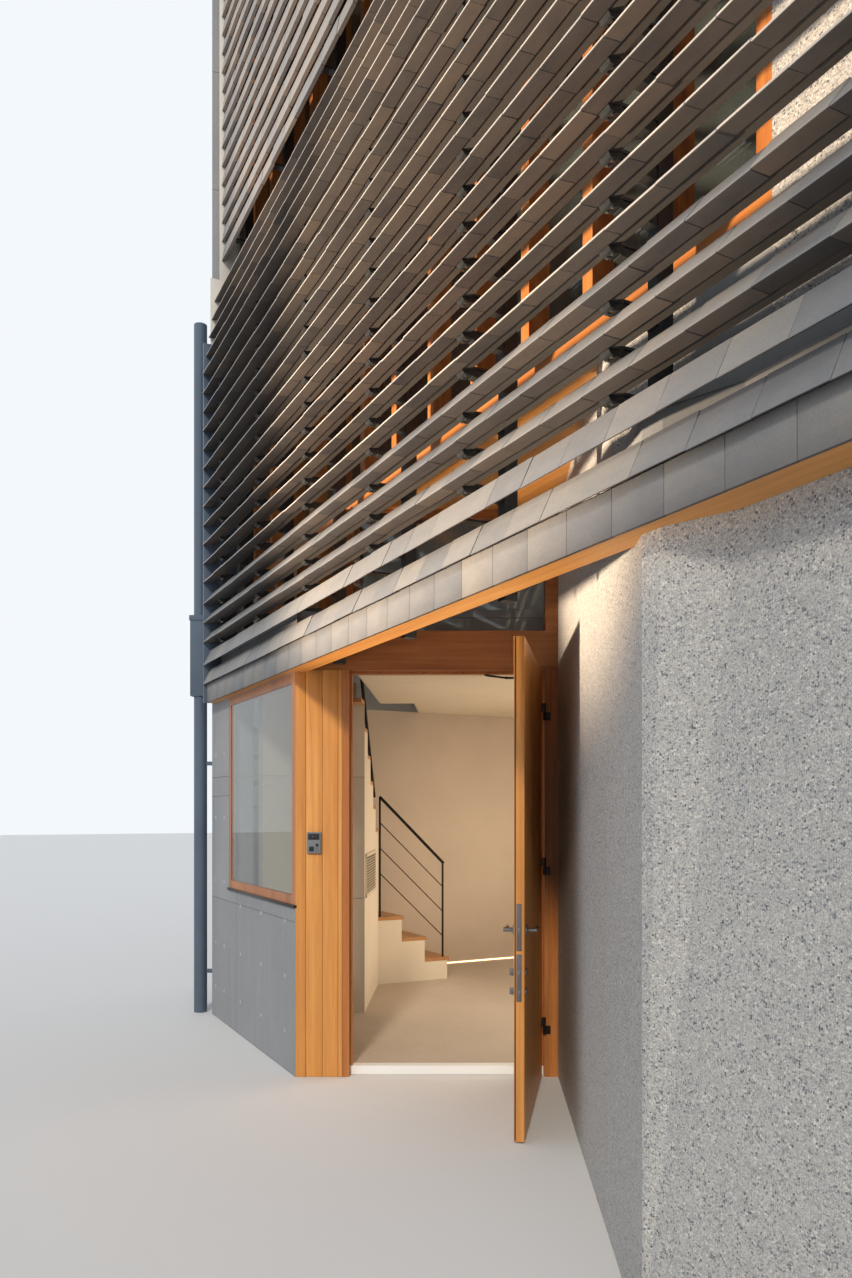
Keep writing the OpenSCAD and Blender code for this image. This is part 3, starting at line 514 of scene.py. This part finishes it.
# Fascia under the rows
fascia, backing = Build(), Build()
edges = joints(1)
for x0, x1 in zip(edges, edges[1:]):
    fascia.box(x0 + 0.8, x1 - 0.8, -70, -57, SCREEN_Z, SCREEN_Z + 145)
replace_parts(fascia.make("fascia_tiles", "plate_tile", bevel=1.5, slot="louvre_tile"), "fascia")
backing.box(SCREEN_X0 + 3, HOUSE_W - 3, -57.2, -55, SCREEN_Z + 8, SCREEN_Z + 140)
backing.make("fascia_backing", "steel", slot="dark_steel")

# Brackets from the posts to the rows, with two bolts each
brackets, bolts = Build(), Build()
BRACKET_HALF, ARM_HALF, BOLT_X, BOLT_R = 24, 20, 13, 5.5


def bolt_pair(x, row, t, n0, n1):
    foot, head = place_section([(t, n0), (t, n1)], *row)
    for dx in (-BOLT_X, BOLT_X):
        bolts.rod((x + dx, *foot), (x + dx, *head), BOLT_R, 6)


for x in [POST_X0 + i * POST_PITCH for i in range(POST_COUNT)]:
    over_recess = PORCH_X < x < PORCH_X + PORCH_W - 300
    for row in WEDGE_ROWS + LEVEL_ROWS:
        lift = -2 if row in WEDGE_ROWS else 0
        seat = place_section([(t, n + lift) for t, n in UNDER_RAIL], *row)
        brackets.along_x(seat, x - BRACKET_HALF, x + BRACKET_HALF)
        tail_y, tail_z = place_section([(120, 0)], *row)[0]
        arm = [(tail_y, tail_z - 20), (POST_IN + 1, tail_z - 34), (POST_IN + 1, tail_z + 26),
               (tail_y, tail_z + 18)]
        brackets.along_x(arm, x - ARM_HALF, x + ARM_HALF)
        bolt_pair(x, row, 88, -21 + lift, -14 + lift)
    for row in (LOW_ROWS if over_recess else []) + TOP_ROWS:
        middle = 65 if row in LOW_ROWS else 55
        seat = [(middle - 28, -22), (middle - 22, -34), (middle + 22, -34), (middle + 28, -22)]
        brackets.along_x(place_section(seat, *row), x - BRACKET_HALF, x + BRACKET_HALF)
        bolt_pair(x, row, middle - 12, -39, -33)
brackets.make("louvre_brackets", "bracket", bevel=1.0, segments=1, slot="dark_steel")
bolts.make("bracket_bolts", "bolt", slot="door_metal")

# Dark channel and pale plates that close the left end of the screen
ends, plates = Build(), Build()
ends.box(SCREEN_X0 - 6, SCREEN_X0, -92, 160, SCREEN_Z, CHANNEL_TOP, 0.2)
ends.box(SCREEN_X0 - 22, SCREEN_X0 - 6, -92, -78, SCREEN_Z, CHANNEL_TOP, 0.4)
ends.make("screen_end_channel", "pipe", bevel=1.0, slot="painted_pipe")
plates.box(SCREEN_X0 - 6, SCREEN_X0, -40, 165, CHANNEL_TOP, LOWER_PLATE_TOP)
plates.box(SCREEN_X0 - 6, SCREEN_X0, 30, 165, LOWER_PLATE_TOP, UPPER_PLATE_TOP)
plates.make("screen_end_plate", "end_plate", bevel=1.0, slot="smooth_concrete")

# Box on the rain pipe, with its rim
hopper = Build(IN_STAIR)
for half, z0, z1 in ((64, 2430, 3040), (70, 3010, 3050)):
    hopper.box(PIPE_S - half, PIPE_S + half, PIPE_B - half, PIPE_B + half, z0, z1)
hopper.make("rain_hopper", "pipe", bevel=3.0, slot="painted_pipe")

# Entrance panel: three boards and a narrow edge board
boards = Build(DOOR_WALL)
board_edges = [0, 62, 158, 250, 274]
for a0, a1 in zip(board_edges, board_edges[1:]):
    boards.box(a0 + (0.8 if a0 else 0), a1 - 0.8, 0, FRAME_D, 0, HEAD_Z)
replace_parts(boards.make("panel_boards", "honey_z", bevel=2.0, slot="timber"), "entry_panel")

# Intercom: body, camera window, button and the holes of its speaker
body, lens, detail = Build(DOOR_WALL), Build(DOOR_WALL), Build(DOOR_WALL)
x, z = INTERCOM_X, INTERCOM_Z
body.box(x, x + 82, -22, 0, z, z + 122)
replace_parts(body.make("intercom_body", "intercom", bevel=3.0, segments=3, slot="grey_plastic"), "intercom")
detail.box(x + 8, x + 74, -23, -21, z + 78, z + 114)
detail.box(x + 14, x + 42, -23.4, -21, z + 11, z + 39)
lens.rod((x + 38, -21, z + 96), (x + 38, -25, z + 96), 12, 32, 9)
detail.rod((x + 60, -22, z + 47), (x + 60, -24, z + 47), 9, 32, 8)
for i in range(5):
    for j in range(4):
        hole_x, hole_z = x + 50 + 6 * j, z + 11 + 6 * i
        detail.rod((hole_x, -21.9, hole_z), (hole_x, -22.2, hole_z), 1.6, 8)
detail.make("intercom_details", "black", bevel=0.5, slot="grey_plastic")
lens.make("intercom_lens", "lens", bevel=0.8, slot="grey_plastic")

# Door leaf: boards on both faces of a core, between two edge strips
leaf = Build(ON_LEAF)
BOARDS, BOARD_T, STRIP_W = 9, 14, 12
step = (LEAF_X1 - LEAF_X0 - 2 * STRIP_W) / BOARDS
for y0, y1 in ((LEAF_Y, LEAF_Y + BOARD_T), (LEAF_Y + LEAF_T - BOARD_T, LEAF_Y + LEAF_T)):
    for i in range(BOARDS):
        x0 = LEAF_X0 + STRIP_W + i * step
        leaf.box(x0 + 0.7, x0 + step - 0.7, y0, y1, LEAF_Z0, LEAF_TOP)
leaf.box(LEAF_X0 + 14, LEAF_X1 - 14, LEAF_Y + 13, LEAF_Y + LEAF_T - 13, LEAF_Z0, LEAF_TOP, 0.5)
for x0 in (LEAF_X0, LEAF_X1 - STRIP_W):
    leaf.box(x0, x0 + STRIP_W, LEAF_Y + 0.6, LEAF_Y + LEAF_T - 0.6, LEAF_Z0, LEAF_TOP, 0.2)
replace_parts(leaf.make("door_boards", "honey_z", "door", bevel=1.6, slot="door_timber"), "door_leaf")
seal = Build(ON_LEAF)
seal.box(LEAF_X0 - 0.6, LEAF_X0 + 1, LEAF_Y + 40, LEAF_Y + 46, LEAF_Z0 + 4, LEAF_TOP - 4)
seal.make("door_seal", "gasket", "door", slot="grey_plastic")

# Levers and lock cylinders on both faces, with thumb turns inside
fittings, dark, lock_plates = Build(ON_LEAF), Build(ON_LEAF), Build(ON_LEAF)
LEVER_X = LEAF_X0 + 65


def off_face(side, distance):
    """Place across the leaf at a distance off its street face (side -1) or its room face (side 1)."""
    return (LEAF_Y if side < 0 else LEAF_Y + LEAF_T) + side * distance


def stub(build, side, z, d0, d1, r, sides, r2=None):
    """A round part that stands off a face at the lever's end of the leaf, between two distances."""
    build.rod((LEVER_X, off_face(side, d0), z), (LEVER_X, off_face(side, d1), z), r, sides, r2)


for side in (-1, 1):
    stub(fittings, side, LEVER_Z, 0, 8, 26, 40, 25)
    stub(fittings, side, LEVER_Z, 8, 42, 10, 24)
    lever_y = off_face(side, 48)
    fittings.rod((LEVER_X, lever_y, LEVER_Z), (LEVER_X + 116, lever_y, LEVER_Z), 8.5, 24)
    stub(fittings, side, LEVER_Z, 40, 56, 11, 24, 10)
    for z in DEADBOLT_ZS:
        stub(fittings, side, z, 0, 7, 20, 36, 19)
        if side > 0:
            fittings.box(LEVER_X - 4, LEVER_X + 4, off_face(side, 7), off_face(side, 26), z - 16, z + 16)
        else:
            stub(dark, side, z, 6.5, 9, 8, 24)

# Lock plates with their screws and bolts in the edge of the leaf, and the hinges' leaves
for z0 in LOCK_ZS:
    lock_plates.box(LEAF_X0 - 2, LEAF_X0 + 1, LEAF_Y + 13, LEAF_Y + 37, z0, z0 + LOCK_H)
    for z in (z0 + 12, z0 + LOCK_H - 12):
        fittings.rod((LEAF_X0 - 2.6, LEAF_Y + 25, z), (LEAF_X0, LEAF_Y + 25, z), 4, 12)
for z in (*DEADBOLT_ZS, LEVER_Z):
    fittings.box(LEAF_X0 - 3, LEAF_X0 + 1, LEAF_Y + 18, LEAF_Y + 32, z - 16, z + 16)
for z in HINGE_ZS:
    dark.rod((PIN_X, PIN_Y, z + 1), (PIN_X, PIN_Y, z + HINGE_H), 9, 24)
    dark.box(PIN_X - 35, PIN_X - 2.6, 0, 3, z, z + HINGE_H)
    dark.box(PIN_X - 9, PIN_X - 4, PIN_Y, 3, z + 1, z + HINGE_H)
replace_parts(fittings.make("door_fittings", "brushed", "door", bevel=0.8, slot="door_metal"), "door_hardware")
dark.make("door_dark_fittings", "bronze", "door", bevel=0.5, slot="door_metal")
lock_plates.make("lock_plates", "lock_plate", "door", bevel=0.4, slot="door_metal")

# Door closer under the head of the frame, on its room side
closer = Build(DOOR_WALL)
SHOE, ELBOW, PIVOT, CLOSER_TOP = (1122, 88), (1240, 80), (1352, 90), 2357
closer.box(1300, 1432, 66, 112, CLOSER_TOP - 45, CLOSER_TOP)
closer.box(1108, 1136, 76, 104, CLOSER_TOP - 7, CLOSER_TOP + 0.5)
closer.rod((*SHOE, CLOSER_TOP - 5), (*ELBOW, CLOSER_TOP - 20), 6, 12)
closer.rod((*ELBOW, CLOSER_TOP - 20), (*PIVOT, CLOSER_TOP - 17), 7, 12)
closer.rod((*ELBOW, CLOSER_TOP - 27), (*ELBOW, CLOSER_TOP - 13), 10, 16)
closer.make("door_closer", "black", bevel=1.5, slot="dark_steel")

# Handrail beside the lower flight
rail = Build()
x, foot_y, turn_y = NEWEL_X - 30, NEWEL_Y + 3 * GOING - 30, NEWEL_Y + 30
foot_z = step_z(1) + RAIL_H
turn_z = foot_z + 3 * RISER
rail.rod((x, foot_y, step_z(1)), (x, foot_y, foot_z + 8), 9, 16)
rail.rod((x, turn_y, step_z(3)), (x, turn_y, turn_z + 8), 9, 16)
rail.rod((x, foot_y + 8, foot_z - 3), (x, turn_y, turn_z + 8), 13, 20)
for drop in RAIL_DROPS:
    rail.rod((x, foot_y, foot_z - drop + 6), (x, turn_y, turn_z - drop + 6), 4.5, 12)
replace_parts(rail.make("handrail_bars", "rail", bevel=0.8, slot="dark_steel"), "handrail")

# Rails along the upper flight, from the newel up into the stairwell
upper = Build(IN_STAIR)
UPPER_B, UPPER_S0, UPPER_S1, UPPER_Z0 = 1154.0, -950.0, 130.0, 1672.0
SLOPE = RISER / GOING
for drop, r in ((0, 13), *((drop, 4.5) for drop in RAIL_DROPS)):
    z0 = UPPER_Z0 - drop
    upper.rod((UPPER_S0, UPPER_B, z0), (UPPER_S1, UPPER_B, z0 + SLOPE * (UPPER_S1 - UPPER_S0)), r, 16)
for i in range(1, 5):
    s = UPPER_S0 + GOING * i
    upper.rod((s, UPPER_B, step_z(6 + i)), (s, UPPER_B, UPPER_Z0 + SLOPE * (s - UPPER_S0)), 7, 16)
upper.make("upper_rail", "rail", bevel=0.5, slot="dark_steel")

# Vent grille in the panel under the upper flight: a border, thirteen slats and the dark behind them
grille, shadow = Build(IN_STAIR), Build(IN_STAIR)
S0, S1, Z0, Z1, FACE, BORDER = -680.0, 90.0, 895.0, 1225.0, 1184.3, 26.0
for s_a, s_b, z_a, z_b in ((S0, S1, Z0, Z0 + BORDER), (S0, S1, Z1 - BORDER, Z1), (S0, S0 + BORDER, Z0, Z1),
                           (S1 - BORDER, S1, Z0, Z1)):
    grille.box(s_a, s_b, FACE - 2, FACE + 9, z_a, z_b)
shadow.box(S0 + 20, S1 - 20, FACE - 1, FACE + 0.6, Z0 + 20, Z1 - 20)
for i in range(13):
    z = Z0 + 34 + i * 20.5
    grille.box(S0 + 22, S1 - 22, FACE, FACE + 6, z, z + 7)
grille.make("vent_grille", "grille", bevel=0.8, segments=1, slot="plaster")
shadow.make("vent_shadow", "black", slot="grey_plastic")

# Taupe plaster on the walls of the hall
lining = Build()
BACK_IN = HOUSE_D - WALL_T
lining.box(WALL_T + 1, WALL_T + 3, 900, BACK_IN - 2, FLOOR_Z + 1, GROUND_TOP - 1)
lining.box(WALL_T + 3, HOUSE_W - WALL_T - 2, BACK_IN - 4, BACK_IN - 1, FLOOR_Z + 1, GROUND_TOP - 1)
lining.make("hall_plaster", "plaster", slot="plaster")

# Pale ceiling of the hall around the stairwell, and the edges of the well
CEILING = [flight_pt(590, 1192), (2300, 205), (3092, 205), (3708, 1424), (3925, 1546), (5930, 404),
           (7985, 404), (7985, 6165), (206, 6165), (206, 2262), flight_pt(-1160, 1492),
           flight_pt(-1160, 1192)]
ceiling, edge = Build(), Build(IN_STAIR)
ceiling.prism(CEILING, GROUND_TOP - 6, GROUND_TOP - 0.6)
ceiling.make("hall_ceiling", "ceiling", slot="plaster")
for s_a, s_b, b_a, b_b in ((-1168, 590, 1181, 1184.4), (-1168.3, -1165, 1181, 1484),
                           (-1960, -1168, 1481, 1484.4)):
    edge.box(s_a, s_b, b_a, b_b, GROUND_TOP - 1, SECOND_Z - 4)
edge.make("stairwell_edge", "ceiling", slot="plaster")

# Light at the foot of the wall
cove = Build()
cove.box(WALL_T + 3, WALL_T + 6, 2250, 6100, FLOOR_Z + 2, FLOOR_Z + 14)
cove.make("wall_cove_light", "cove", slot="white_stone")

# Sill under the front window, and the marks that the formwork left on the concrete beside it
sill, ties, seam = Build(), Build(), Build()
sill.box(1680, 3134, -12, 40, 984, 1000.5)
sill.make("window_drip_sill", "bronze", bevel=1.0, slot="dark_steel")
for x in (1310, 1550, 1980, 2460, 2940):
    for z in (230, 560, 890) if x > 1700 else (230, 560, 1030, 1500, 1970):
        ties.rod((x, 0.5, z), (x, -1.0, z), 13, 24)
seam.box(1203, 1683, -0.7, 0.5, 1658, 1661)
ties.make("form_ties", "tie", bevel=0.5, slot="smooth_concrete")
seam.make("form_joint_line", "gap", slot="smooth_concrete")

# Floor
bpy.ops.mesh.primitive_plane_add(size=120, location=(0, 0, -0.001))
ground = bpy.context.object
ground.name = "studio_floor"
paint = Nodes("studio_floor_paint")
grain = paint.noise(paint.coords(), 3.0)
floor_colour = paint.mix(paint.span(grain, 0, 0.06), (0.66, 0.66, 0.655), (0.58, 0.58, 0.58))
ground.data.materials.append(paint.finish(floor_colour, 0.8))

# World: cool light on everything, and a white that the camera sees, also in glass and gloss
world = bpy.data.worlds.new("studio")
bpy.context.scene.world = world
world.use_nodes = True
tree = world.node_tree
back = tree.nodes["Background"]
white = tree.nodes.new("ShaderNodeBackground")
for shader, colour, strength in ((back, (0.80, 0.88, 1.0, 1), 0.75), (white, (0.90, 0.94, 0.98, 1), 1.0)):
    shader.inputs[0].default_value = colour
    shader.inputs[1].default_value = strength
path = tree.nodes.new("ShaderNodeLightPath")
both = tree.nodes.new("ShaderNodeMixShader")
seen = path.outputs["Is Camera Ray"]
for ray in ("Is Glossy Ray", "Is Transmission Ray"):
    either = tree.nodes.new("ShaderNodeMath")
    either.operation = "MAXIMUM"
    tree.links.new(seen, either.inputs[0])
    tree.links.new(path.outputs[ray], either.inputs[1])
    seen = either.outputs[0]
for i, source in enumerate((seen, back.outputs[0], white.outputs[0])):
    tree.links.new(source, both.inputs[i])
tree.links.new(both.outputs[0], tree.nodes["World Output"].inputs[0])


def lamp(name, kind, energy, colour, at, towards, **values):
    data = bpy.data.lights.new(name, kind)
    data.energy, data.color = energy, colour
    for key, value in values.items():
        setattr(data, key, value)
    obj = bpy.data.objects.new(name, data)
    bpy.context.collection.objects.link(obj)
    obj.location = at
    obj.rotation_euler = (Vector(towards) - Vector(at)).to_track_quat("-Z", "Y").to_euler()
    obj.visible_camera = obj.visible_transmission = obj.visible_glossy = False


# Evening sun with two warm spots on the screen, and lamps in the rooms
STREET = (-3.2, -9.5, 0.5)
lamp("sun", "SUN", 2.2, (1.0, 0.90, 0.76), (9, -9, 9), (0, -2.5, 2.5), angle=0.12)
lamp("street_warmth", "SPOT", 10000, (1.0, 0.78, 0.56), STREET, (0.75, -3.2, 3.8),
     spot_size=math.radians(29), spot_blend=0.45, shadow_soft_size=0.3)
lamp("upper_warmth", "SPOT", 7500, (1.0, 0.80, 0.62), STREET, (-1.2, -3.1, 7.2),
     spot_size=math.radians(22), spot_blend=0.5, shadow_soft_size=0.3)
for name, energy, colour, at, towards, size in (
        ("hall_lamp", 85, (1.0, 0.86, 0.68), (3300, 3900, 2300), (3000, 3700, 0), 2.5),
        ("hall_bounce", 30, (1.0, 0.84, 0.66), (2300, 2800, 300), (2100, 2400, 2500), 1.5),
        ("second_floor_lamp", 40, (1.0, 0.88, 0.72), (4000, 3600, 5150), (4000, 3600, 0), 3),
        ("third_floor_lamp", 30, (1.0, 0.88, 0.72), (4000, 3600, 7850), (4000, 3600, 0), 3)):
    lamp(name, "AREA", energy, colour, site(at), site(towards), size=size)

# Camera, level and straight onto the slanted door wall, as fitted to the photo
data = bpy.data.cameras.new("camera")
data.sensor_fit, data.sensor_width, data.sensor_height = "VERTICAL", 36, 36
data.lens = 26.76
data.shift_y = 0.1338
data.clip_end = 200
camera = bpy.data.objects.new("camera", data)
bpy.context.collection.objects.link(camera)
camera.location = (4.322, -5.006, 1.556)
camera.rotation_euler = Vector((-0.8922, 0.4516, 0)).to_track_quat("-Z", "Y").to_euler()
bpy.context.scene.camera = camera
bpy.context.scene.view_settings.view_transform = "Standard"
